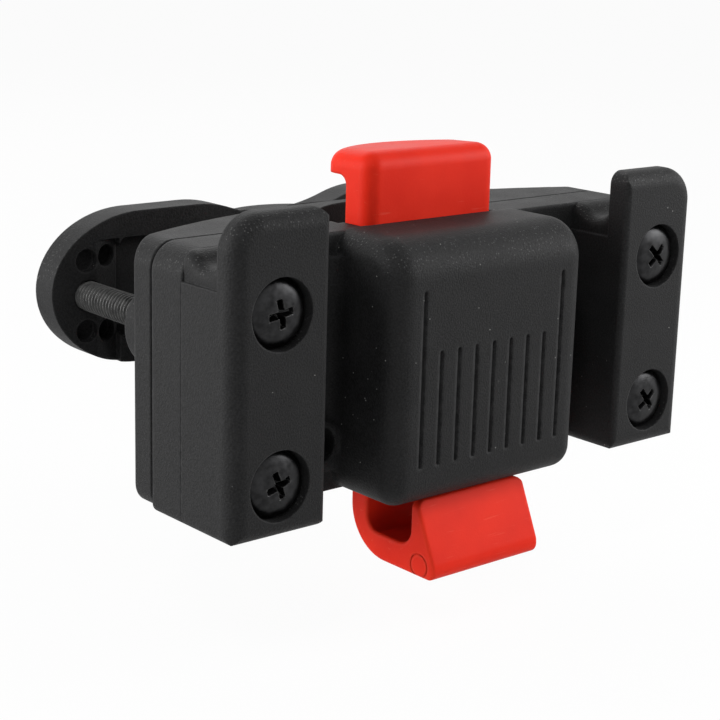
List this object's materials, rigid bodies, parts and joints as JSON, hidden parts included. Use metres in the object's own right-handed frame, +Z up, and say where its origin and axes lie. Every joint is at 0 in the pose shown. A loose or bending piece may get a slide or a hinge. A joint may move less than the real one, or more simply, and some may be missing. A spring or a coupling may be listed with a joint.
{
  "type": "front basket mount",
  "caption": "Quick-release handlebar basket mount: a plastic body with two hook columns and a sprung thumb latch, held on an upright tube by a bolted clamp yoke.",
  "frame": {"origin": "on the axis of the clamped tube, level with the two clamp bolts", "axes": "+Z up along the tube, -Y to the front where the basket hooks on, +X to the right seen from the front"},
  "size_m": [0.1152, 0.0749, 0.0776],
  "materials": {
    "black_plastic": "matte, finely grained",
    "red_plastic": "satin",
    "black_steel": "black oxide, slightly shiny",
    "spring_steel": "plain"
  },
  "bodies": {
    "body": {"base_housing": "black_plastic", "column_left": "black_plastic", "column_right": "black_plastic", "column_screws": "black_steel", "rear_plate": "black_plastic", "plate_screws": "black_steel", "clamp_nuts": "spring_steel", "latch_spring": "spring_steel"},
    "latch": {"release_latch": "red_plastic"},
    "yoke": {"clamp_yoke": "black_plastic", "bolt_washers": "black_steel"},
    "bolt_left": {"clamp_bolt_left": "black_steel"},
    "bolt_right": {"clamp_bolt_right": "black_steel"}
  },
  "joints": [
    {"name": "latch_press", "type": "slide", "parent": "body", "child": "latch", "axis": [0, 0, -1], "range_m": [0, 0.01], "stiffness_N_per_m": 600, "springref_m": -0.008, "deforming": ["latch_spring"]},
    {"name": "yoke_slide", "type": "slide", "parent": "body", "child": "yoke", "axis": [0, 1, 0], "range_m": [-0.006, 0.006]},
    {"name": "clamp_bolt_left_turn", "type": "hinge", "parent": "yoke", "child": "bolt_left", "pos_m": [-0.048, 0, 0], "axis": [0, 1, 0], "range_deg": [-2200, 2200]},
    {"name": "clamp_bolt_right_turn", "type": "hinge", "parent": "yoke", "child": "bolt_right", "pos_m": [0.048, 0, 0], "axis": [0, 1, 0], "range_deg": [-2200, 2200]}
  ],
  "couplings": [
    {"joint": "clamp_bolt_left_turn", "follows": "yoke_slide", "rad_per_m": 6283.2},
    {"joint": "clamp_bolt_right_turn", "follows": "yoke_slide", "rad_per_m": 6283.2}
  ]
}
